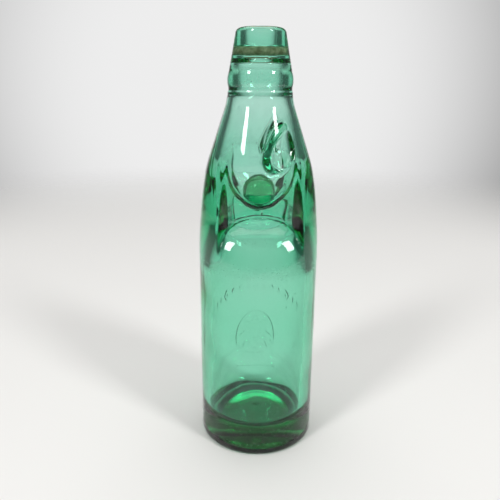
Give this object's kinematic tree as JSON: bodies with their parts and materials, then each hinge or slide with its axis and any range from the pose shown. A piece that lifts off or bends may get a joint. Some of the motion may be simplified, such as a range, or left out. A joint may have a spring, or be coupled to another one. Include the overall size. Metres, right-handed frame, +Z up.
{
  "type": "marble-stoppered soda bottle",
  "caption": "Thick green glass soda bottle whose pinched neck chamber traps a loose glass marble that seals against a rubber ring inside the lip.",
  "frame": {"origin": "centre of the foot, where the bottle's axis meets the surface it stands on", "axes": "+Z up the bottle's axis to the mouth; -Y is the front, which faces one of the two scooped pinches; +X is the side with the two pouring lugs"},
  "size_m": [0.062, 0.062, 0.2125],
  "materials": {
    "bottle_glass": "moulded sea-green glass, glossy, slightly wavy",
    "marble_glass": "green glass, glossy with fine rubbing marks",
    "ring_rubber": "aged brown rubber, dull"
  },
  "bodies": {
    "bottle": {"bottle": "bottle_glass", "sealing_ring": "ring_rubber"},
    "marble": {"marble": "marble_glass"}
  },
  "joints": [
    {"name": "marble_rise", "type": "slide", "parent": "bottle", "child": "marble", "axis": [0, 0, 1], "range_m": [0, 0.0587]}
  ]
}
